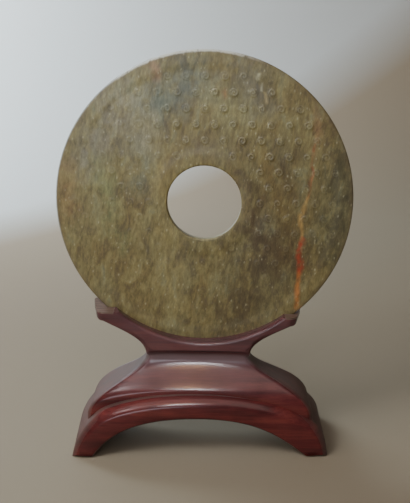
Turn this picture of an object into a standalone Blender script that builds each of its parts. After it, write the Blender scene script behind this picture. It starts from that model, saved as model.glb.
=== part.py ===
"""Jade bi disc standing upright in its carved hardwood stand.

Frame: metres, +Z up, origin on the floor below the middle of the disc, front towards -Y.
The disc stands in the XZ plane. The stand is one carved block: an arched foot slab, a
swelling body set back on a ledge, a narrow waist, and a grooved cradle with two arms.
The stand is hand carved, so its left and right sides have sizes of their own.
"""

import math

import bmesh
import bpy
import numpy as np
from mathutils import Matrix, Vector
from mathutils.geometry import interpolate_bezier

# Jade disc
DISC_DIAMETER = 0.2000
DISC_THICKNESS = 0.0065
HOLE_DIAMETER = 0.0501
DISC_EDGE_ROUNDING = 0.0009
RIM_BAND_WIDTH = 0.0070
HOLE_BAND_WIDTH = 0.0065
FIELD_DEPTH = 0.0006
BAND_SLOPE = 0.0024
DISC_STEPS = 72

# Grain pattern: raised buds in staggered rows on both faces, level with the plain bands
GRAIN_SPACING = 0.0124
GRAIN_ROW_SPACING = 0.0104
GRAIN_DIAMETER = 0.0062
GRAIN_MARGIN = 0.0006
GRAIN_ROOT = 0.0003
GRAIN_SIDES = 5

# Old nicks along the front edge of the rim, by clock angle from +X in degrees and size
NICK_DEPTH = 0.0007
RIM_NICKS = (
    (98.0, 0.0022),
    (104.5, 0.0030),
    (109.0, 0.0024),
    (113.5, 0.0034),
    (118.0, 0.0026),
    (124.0, 0.0020),
)

# Fit of the disc in its groove
GROOVE_CLEARANCE = 0.0003
GROOVE_GRIP = 0.0038
WALL_THICKNESS = 0.0096

# Heights of the stand at its crown, each measured up from the one before
ARCH_RISE = 0.0282
SLAB_THICKNESS = 0.0155
BODY_HEIGHT = 0.0230
SADDLE_THICKNESS = 0.0067

# Foot slab
SLAB_DEPTH = 0.0630
SLAB_TURN = math.radians(2.5)
SLAB_EDGE_ROUNDING = 0.0065
ARCH_EDGE_SHARE = 0.29
TOE_EDGE_SHARE = 0.55
CROWN_OFFSET = -0.0055
TOE_REACH = {"left": 0.0910, "right": 0.0892}
END_SPLAY = {"left": 0.0015, "right": 0.0045}
SHOULDER_REACH = {"left": 0.0738, "right": 0.0772}
SHOULDER_HEIGHT = {"left": 0.0295, "right": 0.0245}
SHOULDER_SLOPE = {"left": math.radians(45.0), "right": math.radians(36.0)}
TOE_SLOPE = {"left": math.radians(77.0), "right": math.radians(83.0)}
FOOT_WIDTH = {"left": 0.0152, "right": 0.0169}
ARCH_SLOPE = {"left": math.radians(58.0), "right": math.radians(39.0)}

# Body, from its lip on the ledge up to the waist
LIP_REACH = {"left": 0.0800, "right": 0.0780}
LIP_HEIGHT = 0.0020
BODY_DEPTH = 0.0460
BODY_CORNER = 0.0050
BODY_SWELL = {"left": 0.44, "right": 0.50}
WAIST_REACH = {"left": 0.0394, "right": 0.0335}
WAIST_DEPTH = 0.0200
WAIST_CORNER = 0.0050
NECK_DROP = 0.0030

# Cradle arms; the back wall runs a little further out than the front wall
ARM_REACH = {"left": 0.0755, "right": 0.0670}
ARM_TIP_HEIGHT = {"left": 0.0080, "right": 0.0066}
TIP_FLAT = {"left": 0.0140, "right": 0.0100}
TIP_SLANT = {"left": math.radians(6.0), "right": math.radians(0.0)}
TIP_ROUNDING = 0.0038
BACK_WALL_EXTRA = 0.0060
CHEEK_HEIGHT = 0.0056
CHEEK_STEP = 0.0008
ARM_EDGE_ROUNDING = 0.0026

# Fullness of the curves: how far each pulls along its end directions, as a share of its span
CROWN_PULL = 0.62
SHOULDER_PULL = 0.08
TOE_PULL = 0.45
ARCH_CROWN_PULL = 0.52
ARCH_FOOT_PULL = 0.33
NECK_DEPTH_PULL = 0.12
SWELL_DEPTH_PULL = 0.07
NECK_END_PULL = 0.33
ARM_ROOT_PULL = 0.42
ARM_TIP_PULL = (0.44, 0.27)
CHEEK_PULL = (0.72, 0.80)
SPLAY_POWER = 4
CREASE_FADE = 4

# How far joined shapes run into each other, and cutters past what they cut
EMBED = 0.0030
CUT_MARGIN = 0.0200

# Fineness of the carved surfaces
SLAB_LONG_STEPS = 12
SLAB_SHORT_STEPS = 7
SLAB_EDGE_STEPS = 2
BODY_STEPS = 8
ARM_STEPS = 6
EDGE_TURNS = (0.0, math.radians(45.0), math.radians(90.0))
GROOVE_STEPS = 128
SAME_PLACE = 1e-6
FACES_ALONG_DEPTH = math.cos(math.radians(60.0))
EVEN_SHARE = 0.5
TIP_TURNS = (math.radians(35.0), math.radians(90.0))
RING_STEPS = 12
CORNER_STEPS = 4
SHARP_ANGLE = math.radians(35.0)

# Places that follow from the sizes above
DISC_RADIUS = DISC_DIAMETER / 2
LEDGE_CROWN = ARCH_RISE + SLAB_THICKNESS
WAIST_LEVEL = LEDGE_CROWN + BODY_HEIGHT
SEAT_LEVEL = WAIST_LEVEL + SADDLE_THICKNESS
DISC_CENTRE = SEAT_LEVEL + GROOVE_CLEARANCE + DISC_RADIUS
GROOVE_RADIUS = DISC_RADIUS + GROOVE_CLEARANCE
GROOVE_WIDTH = DISC_THICKNESS + 2 * GROOVE_CLEARANCE
WALL_TOP_RADIUS = DISC_RADIUS - GROOVE_GRIP
CRADLE_HALF_DEPTH = GROOVE_WIDTH / 2 + WALL_THICKNESS
SIDES = {"left": -1, "right": 1}


def clear_scene():
    """Remove everything that the file holds."""
    for thing in list(bpy.data.objects):
        bpy.data.objects.remove(thing, do_unlink=True)


def principled(name, colour, roughness, coat=0.0):
    """Make a plain surface with a base colour and a roughness."""
    material = bpy.data.materials.new(name)
    material.use_nodes = True
    shader = material.node_tree.nodes["Principled BSDF"]
    shader.inputs["Base Color"].default_value = (*colour, 1.0)
    shader.inputs["Roughness"].default_value = roughness
    shader.inputs["Metallic"].default_value = 0.0
    shader.inputs["Coat Weight"].default_value = coat
    return material


def add_object(name, bm, material=None, round_piece=True):
    """Turn a bmesh into a named object, shaded smooth where it is round."""
    bmesh.ops.recalc_face_normals(bm, faces=bm.faces)
    mesh = bpy.data.meshes.new(name)
    bm.to_mesh(mesh)
    bm.free()
    if round_piece:
        mesh.shade_smooth()
        mesh.set_sharp_from_angle(angle=SHARP_ANGLE)
    thing = bpy.data.objects.new(name, mesh)
    bpy.context.scene.collection.objects.link(thing)
    if material:
        mesh.materials.append(material)
    return thing


def as_guide(thing):
    """Mark an object that only shapes another one."""
    thing.hide_render = True
    thing.display_type = "WIRE"
    return thing


def add_boolean(thing, operation, guide):
    """Join a guide to an object, or cut it out of the object."""
    step = thing.modifiers.new(operation.title() + " " + guide.name, "BOOLEAN")
    step.operation = operation
    step.solver = "EXACT"
    step.object = as_guide(guide)


def smooth_run(start, start_pull, end_pull, end, steps):
    """Points along one cubic curve, both ends included."""
    corners = (Vector((*corner, 0.0)) for corner in (start, start_pull, end_pull, end))
    return [(point.x, point.y) for point in interpolate_bezier(*corners, steps + 1)]


def disc_profile():
    """Section of the plain disc as (radius, y) pairs, going once round it."""
    half = DISC_THICKNESS / 2
    hole = HOLE_DIAMETER / 2
    rounding = DISC_EDGE_ROUNDING
    field = half - FIELD_DEPTH
    front = [
        (hole, half - rounding),
        (hole + rounding, half),
        (hole + HOLE_BAND_WIDTH, half),
        (hole + HOLE_BAND_WIDTH + BAND_SLOPE, field),
        (DISC_RADIUS - RIM_BAND_WIDTH - BAND_SLOPE, field),
        (DISC_RADIUS - RIM_BAND_WIDTH, half),
        (DISC_RADIUS - rounding, half),
        (DISC_RADIUS, half - rounding),
    ]
    return [(r, -y) for r, y in front] + [(r, y) for r, y in reversed(front)]


def turned_disc():
    """Spin the section about the disc's axis."""
    bm = bmesh.new()
    corners = [bm.verts.new((r, y, 0)) for r, y in disc_profile()]
    edges = [bm.edges.new((a, b)) for a, b in zip(corners, corners[1:] + corners[:1])]
    bmesh.ops.spin(bm, geom=corners + edges, cent=(0, 0, 0), axis=(0, 1, 0),
                   angle=2 * math.pi, steps=DISC_STEPS, use_merge=True)
    bmesh.ops.remove_doubles(bm, verts=bm.verts, dist=SAME_PLACE)
    return bm


def grain_places():
    """Centres of the buds: staggered level rows, kept whole between the two plain bands."""
    inner = HOLE_DIAMETER / 2 + HOLE_BAND_WIDTH + GRAIN_MARGIN + GRAIN_DIAMETER / 2
    outer = DISC_RADIUS - RIM_BAND_WIDTH - GRAIN_MARGIN - GRAIN_DIAMETER / 2
    rows = int(outer / GRAIN_ROW_SPACING)
    columns = int(outer / GRAIN_SPACING) + 1
    for row in range(-rows, rows + 1):
        stagger = (row % 2) / 2
        for column in range(-columns, columns + 1):
            x, z = (column + stagger) * GRAIN_SPACING, row * GRAIN_ROW_SPACING
            if inner <= math.hypot(x, z) <= outer:
                yield x, z


def grain_buds():
    """All buds of both faces: low many-sided domes rooted in the sunk field."""
    bm = bmesh.new()
    root = DISC_THICKNESS / 2 - FIELD_DEPTH - GRAIN_ROOT
    height = FIELD_DEPTH + GRAIN_ROOT
    for face, turn in ((-1, math.pi / 2), (1, -math.pi / 2)):
        for x, z in grain_places():
            place = Matrix.Translation((x, face * (root + height / 2), z))
            place = place @ Matrix.Rotation(turn, 4, "X")
            bmesh.ops.create_cone(bm, cap_ends=True, segments=GRAIN_SIDES,
                                  radius1=GRAIN_DIAMETER / 2, radius2=0.0, depth=height, matrix=place)
    return bm


def rim_nicks():
    """Shallow scoops that take the small chips out of the rim's front edge."""
    bm = bmesh.new()
    for angle, size in RIM_NICKS:
        turn = math.radians(angle)
        out = DISC_RADIUS + size - NICK_DEPTH
        place = Matrix.Translation((out * math.cos(turn), -DISC_THICKNESS / 2, out * math.sin(turn)))
        bmesh.ops.create_icosphere(bm, subdivisions=1, radius=size, matrix=place)
    return bm


def build_disc():
    """The jade disc: plain bands, sunk field, raised grain pattern and worn rim."""
    jade = principled("jade", (0.150, 0.130, 0.060), 0.35)
    disc = add_object("jade_disc", turned_disc(), jade)
    for face in disc.data.polygons:
        face.use_smooth = abs(face.normal.y) < math.cos(SHARP_ANGLE)
    buds = add_object("grain_buds", grain_buds(), round_piece=False)
    nicks = add_object("rim_nicks", rim_nicks(), round_piece=False)
    for thing in (disc, buds, nicks):
        thing.location = (0, 0, DISC_CENTRE)
    add_boolean(disc, "UNION", buds)
    add_boolean(disc, "DIFFERENCE", nicks)
    return disc


def slab_line(run):
    """Both sides of a run as one line from left to right."""
    return run("left")[::-1] + run("right")[1:]


def ledge_run(side):
    """Top line of the slab in its front view, from the crown out to the toe."""
    sign = SIDES[side]
    crown = Vector((CROWN_OFFSET, LEDGE_CROWN))
    shoulder = Vector((sign * SHOULDER_REACH[side], SHOULDER_HEIGHT[side]))
    toe = Vector((sign * TOE_REACH[side], 0.0))
    span = abs(shoulder.x - crown.x)
    fall = Vector((sign * math.cos(SHOULDER_SLOPE[side]), -math.sin(SHOULDER_SLOPE[side])))
    land = Vector((sign * math.cos(TOE_SLOPE[side]), -math.sin(TOE_SLOPE[side])))
    out = Vector((sign * CROWN_PULL * span, 0.0))
    drop = TOE_PULL * SHOULDER_HEIGHT[side]
    long_run = smooth_run(crown, crown + out, shoulder - SHOULDER_PULL * span * fall, shoulder,
                          SLAB_LONG_STEPS)
    short_run = smooth_run(shoulder, shoulder + drop * fall, toe - drop * land, toe, SLAB_SHORT_STEPS)
    return long_run + short_run[1:]


def arch_run(side):
    """Underside of the arch in its front view, from the crown out to the inner foot edge."""
    sign = SIDES[side]
    crown = Vector((CROWN_OFFSET, ARCH_RISE))
    foot = Vector((sign * (TOE_REACH[side] - FOOT_WIDTH[side]), 0.0))
    span = abs(foot.x - crown.x)
    land = Vector((sign * math.cos(ARCH_SLOPE[side]), -math.sin(ARCH_SLOPE[side])))
    out = Vector((sign * ARCH_CROWN_PULL * span, 0.0))
    return smooth_run(crown, crown + out, foot - ARCH_FOOT_PULL * span * land, foot,
                      SLAB_LONG_STEPS + SLAB_SHORT_STEPS)


def ledge_height(x):
    """Height of the slab's top at a place along it."""
    line = slab_line(ledge_run)
    return float(np.interp(x, [p[0] for p in line], [p[1] for p in line]))


def build_slab(wood):
    """The arched foot slab: strips between its top and arch lines, thickened along its depth."""
    bm = bmesh.new()
    weight = bm.edges.layers.float.new("bevel_weight_edge")
    rails = []
    for run in (ledge_run, arch_run):
        rail = [bm.verts.new((x, -SLAB_DEPTH / 2, z)) for x, z in slab_line(run)]
        rails += [bm.edges.new(pair) for pair in zip(rail, rail[1:])]
    bmesh.ops.bridge_loops(bm, edges=rails)
    grown = bmesh.ops.extrude_face_region(bm, geom=list(bm.faces), use_keep_orig=True)
    moved = [v for v in grown["geom"] if isinstance(v, bmesh.types.BMVert)]
    bmesh.ops.translate(bm, verts=moved, vec=(0, SLAB_DEPTH, 0))
    bm.normal_update()
    arch = slab_line(arch_run)
    for edge in bm.edges:
        edge[weight] = rounding_share(edge, arch)

    for corner in bm.verts:
        side = "left" if corner.co.x < 0 else "right"
        share = min(abs(corner.co.x) / TOE_REACH[side], 1.0)
        corner.co.x += SIDES[side] * END_SPLAY[side] * share ** SPLAY_POWER * corner.co.y / SLAB_DEPTH

    slab = add_object("carved_stand", bm, wood)
    slab.rotation_euler = (0, 0, SLAB_TURN)
    rounding = slab.modifiers.new("Rounded edges", "BEVEL")
    rounding.limit_method = "WEIGHT"
    rounding.width = SLAB_EDGE_ROUNDING
    rounding.segments = SLAB_EDGE_STEPS
    rounding.use_clamp_overlap = False
    return slab


def rounding_share(edge, arch):
    """Share of the edge rounding that an edge of the raw slab gets.

    Edges along the depth, on the floor and inside the front and back faces get none of it,
    the arch line gets its own share, and the top line eases off down the toes.
    """
    a, b = (v.co for v in edge.verts)
    inside_face = all(abs(face.normal.y) > FACES_ALONG_DEPTH for face in edge.link_faces)
    if inside_face or a.y != b.y or max(a.z, b.z) == 0.0:
        return 0.0
    if on_line(a, arch) and on_line(b, arch):
        return ARCH_EDGE_SHARE
    middle = (a + b) / 2
    side = "left" if middle.x < 0 else "right"
    return TOE_EDGE_SHARE + (1.0 - TOE_EDGE_SHARE) * min(middle.z / SHOULDER_HEIGHT[side], 1.0)


def on_line(place, line):
    """Tell whether a corner is one of a line's points."""
    return any(math.hypot(place.x - x, place.z - z) < SAME_PLACE for x, z in line)


def crowded(count):
    """Even steps from -1 to 1, drawn closer together towards both ends."""
    for k in range(count + 1):
        even = 2 * k / count - 1
        yield EVEN_SHARE * even + (1.0 - EVEN_SHARE) * math.sin(even * math.pi / 2)


def plan_ring(reach, half_depth, corner, height, splay=0.0):
    """One level ring of the loft: straight front and back, rounded ends.

    reach gives the left and right ends, height the z at each (share of reach, x, y).
    splay shifts the ends outwards at the back and inwards at the front.
    """
    middle = (reach["right"] - reach["left"]) / 2
    half = (reach["right"] + reach["left"]) / 2
    turns = [math.pi / 2 * k / CORNER_STEPS for k in range(1, CORNER_STEPS + 1)]
    quarter = [(math.sin(turn), math.cos(turn)) for turn in turns]
    front = [(middle + u * (half - corner), -half_depth) for u in crowded(RING_STEPS)]
    right = [(middle + half - corner + corner * s, -half_depth + corner - corner * c) for s, c in quarter]
    left = [(2 * middle - x, y) for x, y in right]
    lower = left[::-1] + front + right
    plan = lower + [(x, -y) for x, y in reversed(lower)]
    ring = []
    for x, y in plan:
        side = "left" if x < 0 else "right"
        share = min(abs(x) / reach[side], 1.0)
        shifted = x + SIDES[side] * splay * share * y / (2 * half_depth)
        ring.append((shifted, y, height(side, share, x, y)))
    return ring


def body_rings():
    """Rings from inside the slab, up over the lip and the swelling body to the waist."""
    def slab_x(x, y):
        return x * math.cos(SLAB_TURN) + y * math.sin(SLAB_TURN)

    def on_ledge(rise):
        return lambda side, share, x, y: ledge_height(slab_x(x, y)) + rise

    half = BODY_DEPTH / 2
    rings = [plan_ring(LIP_REACH, half, BODY_CORNER, on_ledge(rise)) for rise in (-EMBED, LIP_HEIGHT)]
    neck = (WAIST_DEPTH / 2, WAIST_LEVEL - NECK_DROP)
    crown_lip = (half, LEDGE_CROWN + LIP_HEIGHT)
    depths = smooth_run(neck, (neck[0], neck[1] - NECK_DEPTH_PULL * BODY_HEIGHT),
                        (half, crown_lip[1] + SWELL_DEPTH_PULL * BODY_HEIGHT), crown_lip, BODY_STEPS)
    depths[0] = (neck[0], WAIST_LEVEL)
    ends = {}
    for side, sign in SIDES.items():
        lip = ledge_height(sign * LIP_REACH[side]) + LIP_HEIGHT
        fall = WAIST_LEVEL - lip
        ends[side] = smooth_run((WAIST_REACH[side], WAIST_LEVEL),
                                (WAIST_REACH[side], WAIST_LEVEL - NECK_END_PULL * fall),
                                (LIP_REACH[side], lip + BODY_SWELL[side] * fall),
                                (LIP_REACH[side], lip), BODY_STEPS)
    for k in range(BODY_STEPS - 1, -1, -1):
        depth, crown = depths[k]
        corner = WAIST_CORNER + (BODY_CORNER - WAIST_CORNER) * k / BODY_STEPS

        def height(side, share, x, y, k=k, crown=crown):
            sign = SIDES[side]
            foot = sign * LIP_REACH[side]
            drop = LEDGE_CROWN - ledge_height(foot)
            follow = (LEDGE_CROWN - ledge_height(foot * share)) / drop
            return crown + (ends[side][k][1] - crown) * follow

        rings.append(plan_ring({side: ends[side][k][0] for side in SIDES}, depth, corner, height))
    return rings


def tip_top(side):
    """Height of the flat cut on an arm's tip, at mid depth."""
    inner = ARM_REACH[side] - TIP_FLAT[side]
    return DISC_CENTRE - math.sqrt(WALL_TOP_RADIUS ** 2 - inner ** 2)


def arm_underside(side):
    """An arm's lower edge in the front view, from the waist out to its rounded tip."""
    tip = tip_top(side) - ARM_TIP_HEIGHT[side]
    flat_end = ARM_REACH[side] - TIP_ROUNDING
    arm = flat_end - WAIST_REACH[side]
    rise = tip - WAIST_LEVEL
    run = smooth_run((WAIST_REACH[side], WAIST_LEVEL),
                     (WAIST_REACH[side], WAIST_LEVEL + ARM_ROOT_PULL * rise),
                     (flat_end - ARM_TIP_PULL[0] * arm, tip - ARM_TIP_PULL[1] * rise),
                     (flat_end, tip), ARM_STEPS)
    for turn in TIP_TURNS:
        run.append((flat_end + TIP_ROUNDING * math.sin(turn), tip + TIP_ROUNDING * (1 - math.cos(turn))))
    return run


def underside_height(run, x):
    """Height of the cradle's underside: level over the waist, rising along an arm."""
    return float(np.interp(abs(x), [p[0] for p in run], [p[1] for p in run]))


def cradle_rings():
    """Rings from the waist up: under the arms, up their cheeks and over the rounded wall tops."""
    full = CRADLE_HALF_DEPTH
    cheek = DISC_CENTRE - WALL_TOP_RADIUS - CHEEK_HEIGHT
    rise = cheek - WAIST_LEVEL
    depths = smooth_run((WAIST_DEPTH / 2, WAIST_LEVEL),
                        (WAIST_DEPTH / 2, WAIST_LEVEL + CHEEK_PULL[0] * rise),
                        (full, WAIST_LEVEL + CHEEK_PULL[1] * rise), (full, cheek), ARM_STEPS)
    depths += [(full, cheek + CHEEK_STEP * (k + 1)) for k in range(len(TIP_TURNS))]
    ends = {side: arm_underside(side) for side in SIDES}
    rings = []
    for k in range(1, len(depths)):
        depth, crown = depths[k]

        def height(side, share, x, y, lift=crown - WAIST_LEVEL):
            return underside_height(ends[side], x) + lift * (1 - share ** CREASE_FADE)

        rings.append(plan_ring({side: ends[side][k][0] for side in SIDES}, depth, WAIST_CORNER, height,
                               splay=BACK_WALL_EXTRA * min(k / ARM_STEPS, 1.0)))

    for turn in EDGE_TURNS:
        inward = ARM_EDGE_ROUNDING * (1 - math.cos(turn))
        below = ARM_EDGE_ROUNDING * (1 - math.sin(turn))

        def height(side, share, x, y, below=below):
            return DISC_CENTRE - math.sqrt(WALL_TOP_RADIUS ** 2 - x ** 2) - below

        rings.append(plan_ring(ARM_REACH, full - inward, WAIST_CORNER, height, splay=BACK_WALL_EXTRA))
    return rings


def skin(rings):
    """Close a stack of rings into one solid, with strips across its two end caps."""
    bm = bmesh.new()
    stack = [[bm.verts.new(p) for p in ring] for ring in rings]
    count = len(stack[0])
    for lower, upper in zip(stack, stack[1:]):
        for a in range(count):
            b = (a + 1) % count
            bm.faces.new((lower[a], lower[b], upper[b], upper[a]))
    for ring in (stack[0], stack[-1]):
        for a in range(count // 2 - 1):
            bm.faces.new((ring[a], ring[a + 1], ring[-a - 2], ring[-a - 1]))
    return bm


def groove_cutter():
    """The round slot that the disc stands in."""
    bm = bmesh.new()
    lie = Matrix.Translation((0, 0, DISC_CENTRE)) @ Matrix.Rotation(math.pi / 2, 4, "X")
    bmesh.ops.create_cone(bm, cap_ends=True, segments=GROOVE_STEPS, radius1=GROOVE_RADIUS,
                          radius2=GROOVE_RADIUS, depth=GROOVE_WIDTH, matrix=lie)
    return bm


def tip_cutter(side):
    """The block that leaves an arm's tip flat and bare."""
    wide = TIP_FLAT[side] + 2 * CUT_MARGIN
    deep = 2 * CRADLE_HALF_DEPTH + 2 * CUT_MARGIN
    tall = 2 * CUT_MARGIN
    bm = bmesh.new()
    place = (Matrix.Translation((SIDES[side] * ARM_REACH[side], 0, tip_top(side)))
             @ Matrix.Rotation(TIP_SLANT[side], 4, "X") @ Matrix.Translation((0, 0, tall / 2))
             @ Matrix.Diagonal((wide, deep, tall, 1)))
    bmesh.ops.create_cube(bm, size=1.0, matrix=place)
    return bm


def build_stand():
    """The whole stand as one carved solid."""
    wood = principled("lacquered_hardwood", (0.100, 0.022, 0.016), 0.22, coat=0.5)
    stand = build_slab(wood)
    upper = add_object("stand_upper_form", skin(body_rings() + cradle_rings()))
    add_boolean(stand, "UNION", upper)
    add_boolean(stand, "DIFFERENCE", add_object("groove_cutter", groove_cutter()))
    for side in SIDES:
        add_boolean(stand, "DIFFERENCE", add_object("tip_cutter_" + side, tip_cutter(side)))
    return stand


clear_scene()
build_disc()
build_stand()
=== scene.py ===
"""Looks of a jade bi disc that stands upright in its carved hardwood stand.

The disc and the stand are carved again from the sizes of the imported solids, at a finer
grain, and dressed with procedural stone and lacquered wood. Lengths are in metres, +Z is
up, the front faces -Y, and the origin lies on the floor below the middle of the disc.
"""

import logging
import math
from collections.abc import Callable, Iterator
from dataclasses import dataclass
from enum import Enum

import bmesh
import bpy
import numpy as np
from mathutils import Matrix, Vector
from mathutils.geometry import interpolate_bezier


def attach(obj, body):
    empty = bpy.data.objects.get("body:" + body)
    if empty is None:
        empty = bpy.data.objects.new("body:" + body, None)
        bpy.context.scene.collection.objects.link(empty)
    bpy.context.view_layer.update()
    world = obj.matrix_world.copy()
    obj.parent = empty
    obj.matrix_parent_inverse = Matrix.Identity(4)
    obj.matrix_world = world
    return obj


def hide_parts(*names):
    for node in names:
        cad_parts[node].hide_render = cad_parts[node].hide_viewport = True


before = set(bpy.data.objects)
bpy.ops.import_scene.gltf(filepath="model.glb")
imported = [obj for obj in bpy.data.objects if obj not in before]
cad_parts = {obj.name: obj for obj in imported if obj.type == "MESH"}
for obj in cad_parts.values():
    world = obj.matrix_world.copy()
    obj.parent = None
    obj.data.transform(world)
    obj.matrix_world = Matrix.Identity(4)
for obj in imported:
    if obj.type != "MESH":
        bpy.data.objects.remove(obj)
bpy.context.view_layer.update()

log = logging.getLogger("jade_bi_disc")

Pair = tuple[float, float]
Triple = tuple[float, float, float]
Stops = tuple[tuple[float, Triple], ...]
MM = 0.001
SAME_PLACE = 1e-6
SCATTER = (12.9898, 78.233, 437.585)
# Name of the mark for dust and painted reflection on the flat ledge and the turned ends.
DUST_AND_SHEEN = "dust"


class Hand(Enum):
    """A side of the stand, seen from the front."""

    LEFT = -1
    RIGHT = 1


class Joinery(Enum):
    """What a guide shape does to the block that it meets, and the solver that does it best."""

    JOIN = ("UNION", "EXACT")
    CUT = ("DIFFERENCE", "MANIFOLD")


class Blend(Enum):
    """How one colour is laid over another."""

    COVER = "MIX"
    MULTIPLY = "MULTIPLY"


class Value:
    """A number inside a material, on which Python's operators add Math nodes."""

    def __init__(self, tree: "Surface", socket: bpy.types.NodeSocket) -> None:
        """Hold the socket that gives the number, and the material it belongs to."""
        self.tree = tree
        self.socket = socket

    def __add__(self, other: "Value | float") -> "Value":
        """Sum."""
        return self.tree.math("ADD", self, other)

    def __sub__(self, other: "Value | float") -> "Value":
        """Difference."""
        return self.tree.math("SUBTRACT", self, other)

    def __rsub__(self, other: float) -> "Value":
        """Difference from a plain number."""
        return self.tree.math("SUBTRACT", other, self)

    def __mul__(self, other: "Value | float") -> "Value":
        """Product."""
        return self.tree.math("MULTIPLY", self, other)

    def __truediv__(self, other: "Value | float") -> "Value":
        """Quotient."""
        return self.tree.math("DIVIDE", self, other)

    __radd__ = __add__
    __rmul__ = __mul__

    def call(self, operation: str, *others: "Value | float") -> "Value":
        """Result of a named Math operation on this value."""
        return self.tree.math(operation, self, *others)

    def length(self, other: "Value") -> "Value":
        """Length of the flat vector that this value and another one make."""
        return (self * self + other * other).call("SQRT")

    def rise(self, start: float, end: float) -> "Value":
        """Go smoothly from 0 at start to 1 at end; start may be the larger one.

        Args:
            start: Where the result is still 0.
            end: Where the result is 1.

        Returns:
            A mask from 0 to 1.
        """
        low, high = min(start, end), max(start, end)
        node = self.tree.add("ShaderNodeMapRange", {"interpolation_type": "SMOOTHSTEP"},
                             {0: self, 1: low, 2: high, 3: 0.0, 4: 1.0})
        mask = Value(self.tree, node.outputs[0])
        return mask if start < end else 1.0 - mask


class Surface:
    """One material: its Principled shader and short ways to add nodes to it."""

    def __init__(self, name: str) -> None:
        """Start a material of that name."""
        self.material = bpy.data.materials.new(name)
        self.material.use_nodes = True
        self.nodes = self.material.node_tree.nodes
        self.links = self.material.node_tree.links
        self.shader = self.nodes["Principled BSDF"]
        self.place = self.add("ShaderNodeTexCoord").outputs["Object"]

    def plug(self, socket: bpy.types.NodeSocket, value: object) -> None:
        """Link a value or a socket to a socket, or set a plain number or colour on it."""
        if isinstance(value, Value):
            value = value.socket
        if isinstance(value, bpy.types.NodeSocket):
            self.links.new(value, socket)
        else:
            socket.default_value = value

    def add(self, kind: str, settings: dict[str, object] | None = None,
            sockets: dict[int | str, object] | None = None) -> bpy.types.Node:
        """Add one node.

        Args:
            kind: The node's type name.
            settings: Its own settings, set first; "stops" gives a ramp's places and colours.
            sockets: Values or links of its input sockets, by name or number.

        Returns:
            The new node.
        """
        node = self.nodes.new(kind)
        for key, value in (settings or {}).items():
            if key == "stops":
                stops = node.color_ramp.elements
                for place, colour in value[2:]:
                    stops.new(place).color = (*colour, 1.0)
                for stop, (place, colour) in zip(stops, sorted(value)):
                    stop.position = place
                    stop.color = (*colour, 1.0)
            else:
                setattr(node, key, value)
        for key, value in (sockets or {}).items():
            self.plug(node.inputs[key], value)
        return node

    def math(self, operation: str, *values: "Value | float") -> Value:
        """Result of one Math node."""
        node = self.add("ShaderNodeMath", {"operation": operation}, dict(enumerate(values)))
        return Value(self, node.outputs[0])

    def axes(self, vector: bpy.types.NodeSocket) -> tuple[Value, Value, Value]:
        """The three numbers of a vector."""
        node = self.add("ShaderNodeSeparateXYZ", None, {0: vector})
        return tuple(Value(self, socket) for socket in node.outputs)

    def spread(self, size: Triple, turn: Triple = (0.0, 0.0, 0.0),
               centre: Triple = (0.0, 0.0, 0.0)) -> bpy.types.NodeSocket:
        """Coordinates for a pattern whose features have a given size.

        Args:
            size: Size of one feature along each of the pattern's axes.
            turn: How the pattern is turned, in radians.
            centre: Where the pattern is centred on the piece.

        Returns:
            The vector to read the pattern at.
        """
        node = self.add("ShaderNodeMapping", {"vector_type": "TEXTURE"},
                        {0: self.place, 1: centre, 2: turn, 3: size})
        return node.outputs[0]

    def noise(self, vector: bpy.types.NodeSocket, detail: float = 3.0, roughness: float = 0.55,
              distortion: float = 0.0) -> Value:
        """Cloudy noise from 0 to 1, with features of about one unit."""
        node = self.add("ShaderNodeTexNoise", None,
                        {"Vector": vector, "Scale": 1.0, "Detail": detail, "Roughness": roughness,
                         "Distortion": distortion})
        return Value(self, node.outputs[0])

    def cells(self, vector: bpy.types.NodeSocket) -> Value:
        """Distance to the nearest of scattered points about one unit apart."""
        node = self.add("ShaderNodeTexVoronoi", None,
                        {"Vector": vector, "Scale": 1.0, "Randomness": 1.0})
        return Value(self, node.outputs[0])

    def ramp(self, value: Value, *stops: tuple[float, Triple]) -> bpy.types.NodeSocket:
        """Colour read from a ramp."""
        return self.add("ShaderNodeValToRGB", {"stops": list(stops)}, {0: value}).outputs[0]

    def lay(self, under: object, over: object, mask: Value | float,
            blend: Blend = Blend.COVER) -> bpy.types.NodeSocket:
        """Lay one colour over another.

        Args:
            under: Colour or socket below.
            over: Colour or socket on top.
            mask: How much of the top one shows.
            blend: How they are blended.

        Returns:
            The socket of the blended colour.
        """
        under = (*under, 1.0) if isinstance(under, tuple) else under
        over = (*over, 1.0) if isinstance(over, tuple) else over
        node = self.add("ShaderNodeMix", {"data_type": "RGBA", "blend_type": blend.value,
                                          "clamp_result": True}, {0: mask, 6: under, 7: over})
        return node.outputs[2]

    def bump(self, height: Value, distance: float, strength: float = 1.0) -> bpy.types.NodeSocket:
        """Normal of a surface that stands proud by height times distance."""
        return self.add("ShaderNodeBump", None, {"Strength": strength, "Distance": distance,
                                                 "Height": height}).outputs[0]

    def finish(self, **sockets: object) -> bpy.types.Material:
        """Set the shader's sockets, named with underscores for spaces, and give the material."""
        for key, value in sockets.items():
            name = key.replace("_", " ").title().replace("Ior", "IOR")
            self.plug(self.shader.inputs[name], value)
        return self.material


def make_object(name: str, bm: bmesh.types.BMesh) -> bpy.types.Object:
    """Turn a bmesh into an object of the scene, with its faces pointing out."""
    bmesh.ops.recalc_face_normals(bm, faces=bm.faces)
    if bm.calc_volume(signed=True) < 0:
        bmesh.ops.reverse_faces(bm, faces=bm.faces)
    mesh = bpy.data.meshes.new(name)
    bm.to_mesh(mesh)
    bm.free()
    thing = bpy.data.objects.new(name, mesh)
    bpy.context.scene.collection.objects.link(thing)
    return thing


def bake_modifiers(thing: bpy.types.Object) -> None:
    """Swap an object's mesh for its finished one and drop its modifiers."""
    graph = bpy.context.evaluated_depsgraph_get()
    finished = bpy.data.meshes.new_from_object(thing.evaluated_get(graph))
    thing.modifiers.clear()
    thing.data = finished


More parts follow.
